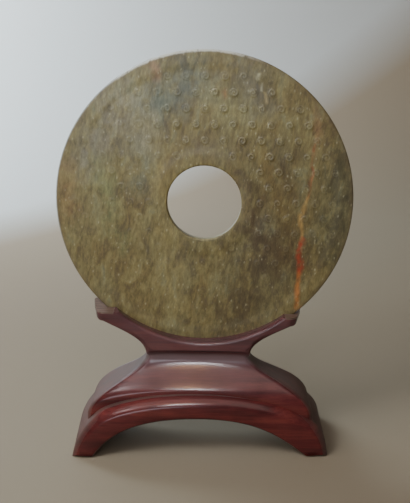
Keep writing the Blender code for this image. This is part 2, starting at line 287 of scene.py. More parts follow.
def smooth_run(start: Pair, start_pull: Pair, end_pull: Pair, end: Pair, steps: int) -> list[Pair]:
    """Points along one cubic curve, both ends included."""
    corners = (Vector((*corner, 0.0)) for corner in (start, start_pull, end_pull, end))
    return [(point.x, point.y) for point in interpolate_bezier(*corners, steps + 1)]


def quarter_turn(steps: int) -> list[float]:
    """Angles of a quarter turn in even steps, both ends included."""
    return [math.pi / 2 * k / steps for k in range(steps + 1)]


def read_triples(items: bpy.types.bpy_prop_collection, name: str) -> np.ndarray:
    """Read one vector from each item of a mesh.

    Args:
        items: The mesh's vertices, or its corner normals.
        name: Name of the vector.

    Returns:
        One row for each item.
    """
    flat = np.empty(len(items) * 3, np.float32)
    items.foreach_get(name, flat)
    return flat.reshape(-1, 3)


def scatter(row: np.ndarray, column: np.ndarray) -> np.ndarray:
    """A fixed number from 0 to 1 for each place in a lattice, with no visible order."""
    row_turn, column_turn, stretch = SCATTER
    return np.modf(np.abs(np.sin(row * row_turn + column * column_turn)) * stretch)[0]


@dataclass(frozen=True)
class GrainPattern:
    """Raised curls in staggered level rows, carved into the sunk field of the disc."""

    spacing: float = 0.0124
    row_spacing: float = 0.0104
    diameter: float = 0.0062
    margin: float = 0.0006
    height: float = 0.00046
    ring_place: float = 0.60
    ring_width: float = 0.32
    eye_height: float = 0.60
    eye_width: float = 0.26
    worn_height: float = 0.24
    crisp_place: Pair = (0.030, 0.050)
    crisp_reach: float = 0.075
    groove_pitch: float = 0.0021
    ring_swing: float = 0.22
    edge_power: int = 6
    size_range: Pair = (0.90, 0.18)
    height_range: Pair = (0.50, 0.50)
    phases: Pair = (1.3, 2.1)

    def relief(self, x: np.ndarray, z: np.ndarray, inner: float, outer: float) -> np.ndarray:
        """Height of the carving above the field.

        Args:
            x: Places across the disc, from its centre.
            z: Places up the disc, from its centre.
            inner: Radius where the field begins.
            outer: Radius where the field ends.

        Returns:
            One height for each place.
        """
        row = np.round(z / self.row_spacing)
        stagger = np.where(row % 2 == 0, 0.0, 0.5)
        column = np.round(x / self.spacing - stagger)
        middle_x = (column + stagger) * self.spacing
        middle_z = row * self.row_spacing
        bud = self.diameter / 2
        middle = np.hypot(middle_x, middle_z)
        kept = (middle >= inner + self.margin + bud) & (middle <= outer - self.margin - bud)
        chance = scatter(row, column)
        least, more = self.size_range
        share = np.hypot(x - middle_x, z - middle_z) / (bud * (least + more * chance))
        turn = np.arctan2(z - middle_z, x - middle_x) - 2 * math.pi * chance
        swing = 1.0 - self.ring_swing + self.ring_swing * np.cos(turn)
        ring = np.exp(-((share - self.ring_place) / self.ring_width) ** 2) * swing
        eye = self.eye_height * np.exp(-(share / self.eye_width) ** 2)
        curl = np.clip(ring + eye, 0.0, 1.0) * np.clip(1.0 - share ** self.edge_power, 0.0, 1.0)
        away = np.hypot(x - self.crisp_place[0], z - self.crisp_place[1]) / self.crisp_reach
        crisp = self.worn_height + (1.0 - self.worn_height) * np.exp(-away ** 2)
        least, more = self.height_range
        return kept * curl * self.height * crisp * (least + more * scatter(column, row))


@dataclass(frozen=True)
class RimNick:
    """One old chip in the front edge of the rim, by clock angle from +X and scoop size."""

    angle: float
    size: float


@dataclass(frozen=True)
class Streak:
    """A streak or patch of other colour in the stone, or a patch of painted shade, between two
    places in millimetres.
    """

    start: Pair
    end: Pair
    width: float
    colour: Triple
    strength: float
    ragged: float = 0.5


@dataclass(frozen=True)
class JadeFinish:
    """Polished, weathered olive jade: mottling, veins, inclusions, specks and a worn rim, with
    painted highlight and shade on the curls and painted shade on its right half.
    """

    centre: Triple
    streaks: tuple[Streak, ...]
    field: Pair
    grain: GrainPattern = GrainPattern()
    roughness: Pair = (0.32, 0.48)
    lean: float = math.radians(8.0)
    cloud_tones: Stops = ((0.30, (0.118, 0.074, 0.029)), (0.43, (0.150, 0.108, 0.038)),
                          (0.55, (0.152, 0.128, 0.056)), (0.70, (0.104, 0.098, 0.058)))
    patch_tones: Stops = ((0.30, (0.072, 0.048, 0.026)), (0.46, (0.142, 0.105, 0.038)),
                          (0.58, (0.205, 0.165, 0.066)), (0.72, (0.158, 0.154, 0.086)))
    shade_tones: Stops = ((0.32, (0.52, 0.50, 0.48)), (0.50, (1.0, 1.0, 1.0)),
                          (0.70, (1.60, 1.60, 1.55)))
    patch_share: float = 0.66
    shade_share: float = 0.62
    bend: float = 13.0
    speck: Triple = (0.340, 0.305, 0.190)
    # Painted highlight on the curls' raised spiral and painted shade in its cut.
    curl_painted_highlight: Triple = (0.300, 0.280, 0.190)
    curl_painted_shade: Triple = (0.050, 0.040, 0.024)
    rim_brown: Triple = (0.105, 0.072, 0.040)
    worn_pale: Triple = (0.560, 0.530, 0.450)
    edge_pale: Triple = (0.440, 0.450, 0.430)
    front_fade: Pair = (1.5, -2.5)
    relief: float = 0.00010

    def streak_mask(self, surface: Surface, streak: Streak, x: Value, z: Value,
                    warp: Value) -> Value:
        """Mask of one streak, from the distance to its line and a ragged edge.

        Args:
            surface: The jade material.
            streak: The streak.
            x: Place across the disc in millimetres.
            z: Place up the disc in millimetres.
            warp: Noise that frays the edge.

        Returns:
            A mask from 0 to 1.
        """
        run_x = streak.end[0] - streak.start[0]
        run_z = streak.end[1] - streak.start[1]
        length_squared = run_x ** 2 + run_z ** 2
        off_x = x - streak.start[0]
        off_z = z - streak.start[1]
        along = (off_x * (run_x / length_squared) + off_z * (run_z / length_squared))
        along = along.call("MAXIMUM", 0.0).call("MINIMUM", 1.0)
        across_x = off_x - along * run_x
        across_z = off_z - along * run_z
        frayed = across_x.length(across_z) / streak.width + (warp - 0.5) * (4.0 * streak.ragged)
        return frayed.rise(1.9, -0.2) * streak.strength

    def curls(self, surface: Surface, x: Value, z: Value) -> tuple[Value, Value]:
        """The spiral cut into each bud.

        Args:
            surface: The jade material.
            x: Place across the disc in millimetres.
            z: Place up the disc in millimetres.

        Returns:
            The spiral as a wave from 0 in the cut to 1 between cuts, and a mask of the buds.
        """
        grain = self.grain
        spacing = grain.spacing / MM
        row_spacing = grain.row_spacing / MM
        row = (z / row_spacing).call("ROUND")
        stagger = (row * 0.5).call("FRACT")
        column = (x / spacing - stagger).call("ROUND")
        middle_x = (column + stagger) * spacing
        middle_z = row * row_spacing
        off_x = x - middle_x
        off_z = z - middle_z
        away = off_x.length(off_z)
        turn = off_z.call("ARCTAN2", off_x) + row * grain.phases[0] + column * grain.phases[1]
        wave = (away * (2 * math.pi * MM / grain.groove_pitch) - turn).call("SINE") * 0.5 + 0.5
        bud = grain.diameter / MM / 2
        middle = middle_x.length(middle_z)
        inner, outer = (edge / MM for edge in self.field)
        fade = grain.margin / MM
        kept = (middle.rise(inner + bud, inner + bud + fade)
                * middle.rise(outer - bud, outer - bud - fade))
        far_x = x - grain.crisp_place[0] / MM
        far_z = z - grain.crisp_place[1] / MM
        far = far_x.length(far_z) / (grain.crisp_reach / MM)
        crisp = far.rise(1.6, 0.0) * (1.0 - grain.worn_height) + grain.worn_height
        return wave, away.rise(bud * 1.05, bud * 0.75) * kept * crisp

    def build(self) -> bpy.types.Material:
        """Make the material."""
        surface = Surface("olive_jade")
        x, y, z = surface.axes(surface.spread((MM, MM, MM), centre=self.centre))
        lean, upright = (0.0, self.lean, 0.0), (0.0, 0.0, 0.0)

        def cloud(size: Triple, turn: Triple, *settings: float) -> Value:
            """Noise of a given feature size about the disc's centre."""
            return surface.noise(surface.spread(size, turn, self.centre), *settings)

        clouds = cloud((0.030, 0.020, 0.062), lean, 2.0, 0.5, 0.6)
        mottle = cloud((0.0075, 0.008, 0.017), lean, 4.0, 0.6, 0.8)
        grain = cloud((0.0015, 0.002, 0.0046), lean, 4.0, 0.68)
        specks = surface.cells(surface.spread((0.0030, 0.004, 0.0052), lean, self.centre))
        warp = cloud((0.0040, 0.0040, 0.0110), upright, 4.0, 0.65)
        wobble = cloud((0.013, 0.013, 0.019), upright, 2.0, 0.5)
        broken = cloud((0.0060, 0.006, 0.0085), lean, 3.0, 0.6)
        colour = surface.lay(surface.ramp(clouds, *self.cloud_tones),
                             surface.ramp(mottle, *self.patch_tones), self.patch_share)
        bent_x = x + (wobble - 0.5) * self.bend
        patchy = broken.rise(0.34, 0.58) * 0.7 + 0.3
        for streak in self.streaks:
            mask = self.streak_mask(surface, streak, bent_x, z, warp) * patchy
            colour = surface.lay(colour, streak.colour, mask)
        shade = surface.ramp(grain, *self.shade_tones)
        colour = surface.lay(colour, shade, self.shade_share, Blend.MULTIPLY)
        speck_mask = specks.rise(0.24, 0.08) * grain.rise(0.40, 0.60)
        colour = surface.lay(colour, self.speck, speck_mask * 0.55)
        wave, buds = self.curls(surface, x, z)
        # Painted highlight on the raised spiral of each curl and painted shade in its cut, so the
        # low relief shows.
        colour = surface.lay(colour, self.curl_painted_highlight, buds * wave.rise(0.35, 0.9) * 0.17)
        colour = surface.lay(colour, self.curl_painted_shade, buds * wave.rise(0.45, 0.05) * 0.20)
        radius = x.length(z)
        rim = (radius + (warp - 0.5) * 4.0).rise(95.5, 100.0)
        colour = surface.lay(colour, self.rim_brown, rim * 0.45)
        worn = (radius + (warp - 0.5) * 2.0).rise(97.8, 99.2) * z.rise(55.0, 80.0)
        front = y.rise(*self.front_fade)
        worn = worn * x.rise(-66.0, -48.0) * x.rise(42.0, 8.0) * grain.rise(0.28, 0.46) * front
        colour = surface.lay(colour, self.worn_pale, worn * 0.85)
        edge = radius.rise(98.8, 99.6) * x.rise(-10.0, -60.0) * z.rise(-60.0, 0.0) * front
        colour = surface.lay(colour, self.edge_pale, edge * 0.45)
        low, high = self.roughness
        gloss = mottle * (high - low) + low + worn * 0.2
        height = grain * 0.4 + buds * wave * 0.9
        return surface.finish(base_color=colour, roughness=gloss,
                              normal=surface.bump(height, self.relief, 0.8))


@dataclass(frozen=True)
class JadeDisc:
    """The flat pierced disc: plain bands, sunk field with carved curls, worn rim."""

    centre_height: float
    diameter: float = 0.2000
    thickness: float = 0.0065
    hole_diameter: float = 0.0501
    edge_rounding: float = 0.0009
    rim_band: float = 0.0070
    hole_band: float = 0.0065
    field_depth: float = 0.0004
    band_slope: float = 0.0072
    slope_steps: int = 10
    grain: GrainPattern = GrainPattern()
    nick_depth: float = 0.0007
    nicks: tuple[RimNick, ...] = (
        RimNick(98.0, 0.0022), RimNick(104.5, 0.0030), RimNick(109.0, 0.0024),
        RimNick(113.5, 0.0034), RimNick(118.0, 0.0026), RimNick(124.0, 0.0020))
    turns: int = 550
    front_step: float = 0.00062
    back_step: float = 0.00170
    edge_steps: int = 4
    rim_steps: int = 5
    band_steps: int = 3

    @property
    def radius(self) -> float:
        """Radius of the rim."""
        return self.diameter / 2

    @property
    def field(self) -> Pair:
        """Radii where the sunk field begins and ends."""
        return self.hole_diameter / 2 + self.hole_band, self.radius - self.rim_band

    def face_profile(self, step: float) -> list[Pair]:
        """Section of one face from the hole's edge to the rim, as (radius, height) pairs.

        Args:
            step: Distance between the turned rings of the field.

        Returns:
            Points with their height from the middle of the thickness.
        """
        half = self.thickness / 2
        hole = self.hole_diameter / 2
        rounding = self.edge_rounding
        turns = quarter_turn(self.edge_steps)
        inner, outer = self.field
        rings = int((outer - inner - 2 * self.band_slope) / step)
        sunk = [inner + self.band_slope + (outer - inner - 2 * self.band_slope) * k / rings
                for k in range(rings + 1)]
        slope = [(self.band_slope * k / self.slope_steps,
                  self.field_depth * math.sin(math.pi / 2 * k / self.slope_steps) ** 2)
                 for k in range(self.slope_steps)]
        run = [(hole + rounding * (1 - math.sin(t)), half - rounding * (1 - math.cos(t)))
               for t in reversed(turns)]
        bands = range(1, self.band_steps)
        run += [(hole + rounding + (inner - hole - rounding) * k / self.band_steps, half)
                for k in bands]
        run += [(inner + away, half - sink) for away, sink in slope]
        run += [(r, half - self.field_depth) for r in sunk]
        run += [(outer - away, half - sink) for away, sink in reversed(slope)]
        run += [(outer + (self.radius - rounding - outer) * k / self.band_steps, half)
                for k in bands]
        run += [(self.radius - rounding * (1 - math.sin(t)), half - rounding * (1 - math.cos(t)))
                for t in turns]
        return run

    def section(self) -> list[Pair]:
        """Whole closed section of the disc as (radius, y) pairs, front face first."""
        front = [(r, -y) for r, y in self.face_profile(self.front_step)]
        back = [(r, y) for r, y in reversed(self.face_profile(self.back_step))]
        flat = self.thickness - 2 * self.edge_rounding
        levels = [-flat / 2 + flat * k / self.rim_steps for k in range(1, self.rim_steps)]
        rim = [(self.radius, y) for y in levels]
        hole = [(self.hole_diameter / 2, -y) for y in levels]
        return front + rim + back + hole

    def turned(self) -> bmesh.types.BMesh:
        """Spin the section about the disc's axis."""
        bm = bmesh.new()
        corners = [bm.verts.new((r, y, 0.0)) for r, y in self.section()]
        edges = [bm.edges.new(pair) for pair in zip(corners, corners[1:] + corners[:1])]
        bmesh.ops.spin(bm, geom=corners + edges, cent=(0, 0, 0), axis=(0, 1, 0),
                       angle=2 * math.pi, steps=self.turns, use_merge=True)
        bmesh.ops.remove_doubles(bm, verts=bm.verts, dist=SAME_PLACE)
        return bm

    def carve(self, places: np.ndarray) -> None:
        """Raise the curls from the field of both faces, in place."""
        inner, outer = self.field
        x, y, z = places.T
        away = np.hypot(x, z)
        field = self.thickness / 2 - self.field_depth
        on_field = (away > inner) & (away < outer)
        raised = field + self.grain.relief(x, z, inner, outer)
        places[:, 1] = np.where(on_field, np.sign(y) * np.maximum(np.abs(y), raised), y)

    def chip(self, places: np.ndarray) -> None:
        """Push the rim's front edge in to the scoops of the old chips, in place."""
        for nick in self.nicks:
            turn = math.radians(nick.angle)
            out = self.radius + nick.size - self.nick_depth
            scoop = np.array((out * math.cos(turn), -self.thickness / 2, out * math.sin(turn)))
            off = places - scoop
            distance = np.linalg.norm(off, axis=1)
            inside = distance < nick.size
            places[inside] = scoop + off[inside] * (nick.size / distance[inside])[:, None]

    def build(self, finish: bpy.types.Material) -> bpy.types.Object:
        """Make the disc.

        Args:
            finish: The jade material.

        Returns:
            The finished piece.
        """
        disc = make_object("bi_disc", self.turned())
        places = read_triples(disc.data.vertices, "co").astype(float)
        self.carve(places)
        self.chip(places)
        places[:, 2] += self.centre_height
        disc.data.vertices.foreach_set("co", places.astype(np.float32).ravel())
        disc.data.update()
        disc.data.shade_smooth()
        disc.data.materials.append(finish)
        return disc


@dataclass(frozen=True)
class StandSide:
    """Sizes of one side of the hand-carved stand: reaches from the middle, heights, slopes."""

    hand: Hand
    toe_reach: float
    end_splay: float
    shoulder_reach: float
    shoulder_height: float
    shoulder_slope: float
    toe_slope: float
    foot_width: float
    arch_slope: float
    lip_reach: float
    body_swell: float
    waist_reach: float
    arm_reach: float
    arm_tip_height: float
    tip_flat: float
    tip_slant: float

    @property
    def sign(self) -> int:
        """-1 on the left, 1 on the right."""
        return self.hand.value


LEFT_SIDE = StandSide(
    hand=Hand.LEFT, toe_reach=0.0910, end_splay=0.0015, shoulder_reach=0.0738,
    shoulder_height=0.0295, shoulder_slope=math.radians(45.0), toe_slope=math.radians(77.0),
    foot_width=0.0152, arch_slope=math.radians(58.0), lip_reach=0.0800, body_swell=0.44,
    waist_reach=0.0394, arm_reach=0.0755, arm_tip_height=0.0080, tip_flat=0.0140,
    tip_slant=math.radians(6.0))
RIGHT_SIDE = StandSide(
    hand=Hand.RIGHT, toe_reach=0.0892, end_splay=0.0045, shoulder_reach=0.0772,
    shoulder_height=0.0245, shoulder_slope=math.radians(36.0), toe_slope=math.radians(83.0),
    foot_width=0.0169, arch_slope=math.radians(39.0), lip_reach=0.0780, body_swell=0.50,
    waist_reach=0.0335, arm_reach=0.0670, arm_tip_height=0.0066, tip_flat=0.0100,
    tip_slant=0.0)


@dataclass(frozen=True)
class FootSlab:
    """The arched slab on two feet, drawn in its front view and thickened along its depth."""

    sides: tuple[StandSide, StandSide]
    arch_rise: float = 0.0282
    thickness: float = 0.0155
    depth: float = 0.0630
    turn: float = math.radians(2.5)
    crown_offset: float = -0.0055
    edge_rounding: float = 0.0065
    arch_edge_share: float = 0.29
    toe_taper: float = 0.55
    crown_pull: float = 0.62
    shoulder_pull: float = 0.08
    toe_pull: float = 0.45
    arch_crown_pull: float = 0.52
    arch_foot_pull: float = 0.33
    splay_power: float = 4.0
    long_steps: int = 40
    short_steps: int = 16
    edge_segments: int = 8
    edge_fullness: float = 0.40
    face_lean: float = 0.5

    @property
    def crown(self) -> float:
        """Height of the ledge at its highest place."""
        return self.arch_rise + self.thickness

    def top_run(self, side: StandSide) -> list[Pair]:
        """Top line of one side, from the crown out over the shoulder to the toe."""
        crown = Vector((self.crown_offset, self.crown))
        shoulder = Vector((side.sign * side.shoulder_reach, side.shoulder_height))
        toe = Vector((side.sign * side.toe_reach, 0.0))
        span = abs(shoulder.x - crown.x)
        fall = Vector((side.sign * math.cos(side.shoulder_slope), -math.sin(side.shoulder_slope)))
        land = Vector((side.sign * math.cos(side.toe_slope), -math.sin(side.toe_slope)))
        out = Vector((side.sign * self.crown_pull * span, 0.0))
        drop = self.toe_pull * side.shoulder_height
        long_run = smooth_run(crown, crown + out, shoulder - self.shoulder_pull * span * fall,
                              shoulder, self.long_steps)
        short_run = smooth_run(shoulder, shoulder + drop * fall, toe - drop * land, toe,
                               self.short_steps)
        return long_run + short_run[1:]

    def arch_run(self, side: StandSide) -> list[Pair]:
        """Underside of one side, from the crown of the arch out to the inner foot edge."""
        crown = Vector((self.crown_offset, self.arch_rise))
        foot = Vector((side.sign * (side.toe_reach - side.foot_width), 0.0))
        span = abs(foot.x - crown.x)
        land = Vector((side.sign * math.cos(side.arch_slope), -math.sin(side.arch_slope)))
        out = Vector((side.sign * self.arch_crown_pull * span, 0.0))
        return smooth_run(crown, crown + out, foot - self.arch_foot_pull * span * land, foot,
                          self.long_steps + self.short_steps)

    def line(self, run: Callable[[StandSide], list[Pair]]) -> list[Pair]:
        """Both sides of a run as one line from left to right."""
        left, right = (run(side) for side in self.sides)
        return left[::-1] + right[1:]

    def ledge_height(self, x: float) -> float:
        """Height of the slab's top at a place along it."""
        line = self.line(self.top_run)
        return float(np.interp(x, [p[0] for p in line], [p[1] for p in line]))

    def top_share(self, x: float, z: float) -> float:
        """Share of the edge rounding on the top line, which eases off down the toes."""
        height = self.sides[x >= 0].shoulder_height
        return self.toe_taper + (1.0 - self.toe_taper) * min(z / height, 1.0)

    def edge_share(self, edge: bmesh.types.BMEdge, arch: list[Pair]) -> float:
        """Share of the edge rounding that one edge of the raw slab gets.

        Args:
            edge: The edge.
            arch: Points of the arch line.

        Returns:
            None of it along the depth, on the floor and inside the front and back faces.
        """
        a, b = (v.co for v in edge.verts)
        flat = all(abs(face.normal.y) > self.face_lean for face in edge.link_faces)
        if flat or a.y != b.y or max(a.z, b.z) == 0.0:
            return 0.0
        if self.on_arch(a, arch) and self.on_arch(b, arch):
            return self.arch_edge_share
        return self.top_share((a.x + b.x) / 2, (a.z + b.z) / 2)

    def on_arch(self, place: Vector, arch: list[Pair]) -> bool:
        """Tell whether a corner is one of the arch line's points."""
        return any(math.hypot(place.x - x, place.z - z) < SAME_PLACE for x, z in arch)

    def build(self) -> bpy.types.Object:
        """Make the slab with its edges rounded."""
        bm = bmesh.new()
        weight = bm.edges.layers.float.new("bevel_weight_edge")
        rails = []
        for run in (self.top_run, self.arch_run):
            rail = [bm.verts.new((x, -self.depth / 2, z)) for x, z in self.line(run)]
            rails += [bm.edges.new(pair) for pair in zip(rail, rail[1:])]
        bmesh.ops.bridge_loops(bm, edges=rails)
        grown = bmesh.ops.extrude_face_region(bm, geom=list(bm.faces), use_keep_orig=True)["geom"]
        moved = [v for v in grown if isinstance(v, bmesh.types.BMVert)]
        bmesh.ops.translate(bm, verts=moved, vec=(0, self.depth, 0))
        bm.normal_update()
        arch = self.line(self.arch_run)
        for edge in bm.edges:
            edge[weight] = self.edge_share(edge, arch)
        for corner in bm.verts:
            side = self.sides[corner.co.x >= 0]
            share = min(abs(corner.co.x) / side.toe_reach, 1.0) ** self.splay_power
            corner.co.x += side.sign * side.end_splay * share * corner.co.y / self.depth
        bmesh.ops.rotate(bm, verts=bm.verts, cent=(0, 0, 0),
                         matrix=Matrix.Rotation(self.turn, 3, "Z"))
        slab = make_object("foot_slab", bm)
        rounding = slab.modifiers.new("Rounded edges", "BEVEL")
        rounding.limit_method = "WEIGHT"
        rounding.width = self.edge_rounding
        rounding.segments = self.edge_segments
        rounding.profile = self.edge_fullness
        rounding.use_clamp_overlap = False
        bake_modifiers(slab)
        return slab


@dataclass(frozen=True)
class Groove:
    """The round slot that the disc stands in, and the walls beside it."""

    disc_radius: float
    disc_thickness: float
    seat_level: float
    clearance: float = 0.0003
    grip: float = 0.0038
    wall_thickness: float = 0.0096
    steps: int = 256

    @property
    def centre(self) -> float:
        """Height of the disc's centre."""
        return self.seat_level + self.clearance + self.disc_radius

    @property
    def wall_top_radius(self) -> float:
        """Radius of the cradle's rounded top, about the disc's centre."""
        return self.disc_radius - self.grip

    @property
    def width(self) -> float:
        """Width of the slot."""
        return self.disc_thickness + 2 * self.clearance

    @property
    def half_depth(self) -> float:
        """Half of the cradle's depth."""
        return self.width / 2 + self.wall_thickness

    def wall_top(self, x: float) -> float:
        """Height of the cradle's top at a place along it."""
        return self.centre - math.sqrt(self.wall_top_radius ** 2 - x ** 2)

    def cutter(self) -> bpy.types.Object:
        """The round block that cuts the slot."""
        bm = bmesh.new()
        lie = Matrix.Translation((0, 0, self.centre)) @ Matrix.Rotation(math.pi / 2, 4, "X")
        radius = self.disc_radius + self.clearance
        bmesh.ops.create_cone(bm, cap_ends=True, segments=self.steps, radius1=radius,
                              radius2=radius, depth=self.width, matrix=lie)
        return make_object("groove_cutter", bm)


@dataclass(frozen=True)
class UpperForm:
    """The swelling body, the waist and the cradle, as one stack of level rings."""

    sides: tuple[StandSide, StandSide]
    slab: FootSlab
    groove: Groove
    embed: float = 0.0030
    lip_height: float = 0.0020
    body_height: float = 0.0230
    body_depth: float = 0.0460
    body_corner: float = 0.0050
    waist_depth: float = 0.0200
    waist_corner: float = 0.0050
    tip_rounding: float = 0.0038
    back_wall_extra: float = 0.0060
    cheek_height: float = 0.0056
    cheek_step: float = 0.0002
    edge_rounding: float = 0.0026
    neck_drop: float = 0.0030
    neck_depth_pull: float = 0.12
    swell_depth_pull: float = 0.07
    neck_end_pull: float = 0.33
    arm_root_pull: float = 0.42
    arm_tip_pull: Pair = (0.44, 0.27)
    cheek_pull: Pair = (0.72, 0.80)
    crease_fade: float = 4.0
    body_steps: int = 26
    arm_steps: int = 20
    tip_steps: int = 6
    ring_steps: int = 44
    corner_steps: int = 8
    even_share: float = 0.5

    @property
    def waist_level(self) -> float:
        """Height of the waist."""
        return self.slab.crown + self.body_height

    def crowded(self) -> Iterator[float]:
        """Even steps from -1 to 1, drawn closer together towards both ends."""
        for k in range(self.ring_steps + 1):
            even = 2 * k / self.ring_steps - 1
            drawn = math.sin(even * math.pi / 2)
            yield self.even_share * even + (1.0 - self.even_share) * drawn

    def plan_ring(self, reach: Pair, half_depth: float, corner: float,
                  height: Callable[[StandSide, float, float, float], float],
                  splay: float = 0.0) -> list[Triple]:
        """One ring of the stack: straight front and back, rounded ends.

        Args:
            reach: Reach of the left and the right end.
            half_depth: Half of the ring's depth.
            corner: Radius of its corners.
            height: Gives z for a side, a share of its reach, x and y.
            splay: Shifts the ends outwards at the back and inwards at the front.

        Returns:
            Points of the front run from left to right, then of the back run back again.
        """
        left_reach, right_reach = reach
        middle = (right_reach - left_reach) / 2
        half = (right_reach + left_reach) / 2
        turns = quarter_turn(self.corner_steps)[1:]
        front = [(middle + u * (half - corner), -half_depth) for u in self.crowded()]
        right = [(middle + half - corner * (1 - math.sin(t)),
                  corner * (1 - math.cos(t)) - half_depth) for t in turns]
        left = [(2 * middle - x, y) for x, y in right]
        lower = left[::-1] + front + right
        ring = []
        for x, y in lower + [(x, -y) for x, y in reversed(lower)]:
            side = self.sides[x >= 0]
            share = min(abs(x) / reach[x >= 0], 1.0)
            shifted = x + side.sign * splay * share * y / (2 * half_depth)
            ring.append((shifted, y, height(side, share, x, y)))
        return ring

    def body_rings(self) -> Iterator[list[Triple]]:
        """Rings from inside the slab, up over the lip and the swelling body to the waist."""
        half = self.body_depth / 2
        lips = tuple(side.lip_reach for side in self.sides)
        turn = self.slab.turn
        for rise in (-self.embed, self.lip_height):
            yield self.plan_ring(
                lips, half, self.body_corner,
                lambda side, share, x, y: rise + self.slab.ledge_height(
                    x * math.cos(turn) + y * math.sin(turn)))
        neck = (self.waist_depth / 2, self.waist_level - self.neck_drop)
        lip = (half, self.slab.crown + self.lip_height)
        depths = smooth_run(neck, (neck[0], neck[1] - self.neck_depth_pull * self.body_height),
                            (half, lip[1] + self.swell_depth_pull * self.body_height), lip,
                            self.body_steps)
        depths[0] = (neck[0], self.waist_level)
        ends = [self.end_run(side) for side in self.sides]
        for k in range(self.body_steps - 1, -1, -1):
            depth, crown = depths[k]
            widening = (self.body_corner - self.waist_corner) * k / self.body_steps
            corner = self.waist_corner + widening
            yield self.plan_ring(tuple(run[k][0] for run in ends), depth, corner,
                                 lambda side, share, x, y: self.body_height_at(
                                     side, share, crown, ends[side.sign > 0][k][1]))

    def end_run(self, side: StandSide) -> list[Pair]:
        """End line of the body in its front view, from the waist down to the lip."""
        lip = self.slab.ledge_height(side.sign * side.lip_reach) + self.lip_height
        fall = self.waist_level - lip
        return smooth_run((side.waist_reach, self.waist_level),
                          (side.waist_reach, self.waist_level - self.neck_end_pull * fall),
                          (side.lip_reach, lip + side.body_swell * fall),
                          (side.lip_reach, lip), self.body_steps)

    def body_height_at(self, side: StandSide, share: float, crown: float, end: float) -> float:
        """Height on a body ring, which sinks towards its ends as the ledge below it does."""
        foot = side.sign * side.lip_reach
        drop = self.slab.crown - self.slab.ledge_height(foot)
        follow = (self.slab.crown - self.slab.ledge_height(foot * share)) / drop
        return crown + (end - crown) * follow

    def tip_top(self, side: StandSide) -> float:
        """Height of the flat cut on an arm's tip, at mid depth."""
        return self.groove.wall_top(side.arm_reach - side.tip_flat)

    def arm_underside(self, side: StandSide) -> list[Pair]:
        """An arm's lower edge in the front view, from the waist out to its rounded tip."""
        tip = self.tip_top(side) - side.arm_tip_height
        flat_end = side.arm_reach - self.tip_rounding
        arm = flat_end - side.waist_reach
        rise = tip - self.waist_level
        run = smooth_run((side.waist_reach, self.waist_level),
                         (side.waist_reach, self.waist_level + self.arm_root_pull * rise),
                         (flat_end - self.arm_tip_pull[0] * arm, tip - self.arm_tip_pull[1] * rise),
                         (flat_end, tip), self.arm_steps)
        for turn in quarter_turn(self.tip_steps)[1:]:
            run.append((flat_end + self.tip_rounding * math.sin(turn),
                        tip + self.tip_rounding * (1 - math.cos(turn))))
        return run

    def underside_height(self, run: list[Pair], x: float) -> float:
        """Height of the cradle's underside: level over the waist, rising along an arm."""
        return float(np.interp(abs(x), [p[0] for p in run], [p[1] for p in run]))

    def cradle_rings(self) -> Iterator[list[Triple]]:
        """Rings from the waist up: under the arms, up their cheeks, over the wall tops."""
        full = self.groove.half_depth
        cheek = self.groove.wall_top(0.0) - self.cheek_height
        rise = cheek - self.waist_level
        low, high = self.cheek_pull
        depths = smooth_run((self.waist_depth / 2, self.waist_level),
                            (self.waist_depth / 2, self.waist_level + low * rise),
                            (full, self.waist_level + high * rise), (full, cheek), self.arm_steps)
        depths += [(full, cheek + self.cheek_step * k / self.tip_steps)
                   for k in range(1, self.tip_steps + 1)]
        ends = [self.arm_underside(side) for side in self.sides]
        for k in range(1, len(depths)):
            depth, crown = depths[k]
            lift = crown - self.waist_level
            yield self.plan_ring(
                tuple(run[k][0] for run in ends), depth, self.waist_corner,
                lambda side, share, x, y: self.underside_height(ends[side.sign > 0], x)
                + lift * (1 - share ** self.crease_fade),
                splay=self.back_wall_extra * min(k / self.arm_steps, 1.0))
        arms = tuple(side.arm_reach for side in self.sides)
        for turn in quarter_turn(self.tip_steps):
            below = self.edge_rounding * (1 - math.sin(turn))
            yield self.plan_ring(arms, full - self.edge_rounding * (1 - math.cos(turn)),
                                 self.waist_corner,
                                 lambda side, share, x, y: self.groove.wall_top(x) - below,
                                 splay=self.back_wall_extra)

    def close_end(self, bm: bmesh.types.BMesh, ring: list[bmesh.types.BMVert]) -> None:
        """Close one end of the stack with strips from its front run to its back run."""
        half = len(ring) // 2
        runs = (ring[:half], ring[half:])
        rails = [bm.edges.get(pair) for run in runs for pair in zip(run, run[1:])]
        bmesh.ops.bridge_loops(bm, edges=rails)

    def build(self) -> bpy.types.Object:
        """Grow the stack ring by ring and close both ends."""
        bm = bmesh.new()
        rings = [*self.body_rings(), *self.cradle_rings()]
        first = [bm.verts.new(place) for place in rings[0]]
        edges = [bm.edges.new(pair) for pair in zip(first, first[1:] + first[:1])]
        ring = first
        for places in rings[1:]:
            grown = bmesh.ops.extrude_edge_only(bm, edges=edges)["geom"]
            edges = [e for e in grown if isinstance(e, bmesh.types.BMEdge)]
            fresh = {v for e in edges for v in e.verts}
            ring = [next(e.other_vert(v) for e in v.link_edges if e.other_vert(v) in fresh)
                    for v in ring]
            for vert, place in zip(ring, places):
                vert.co = place
        self.close_end(bm, first)
        self.close_end(bm, ring)
        return make_object("upper_form", bm)


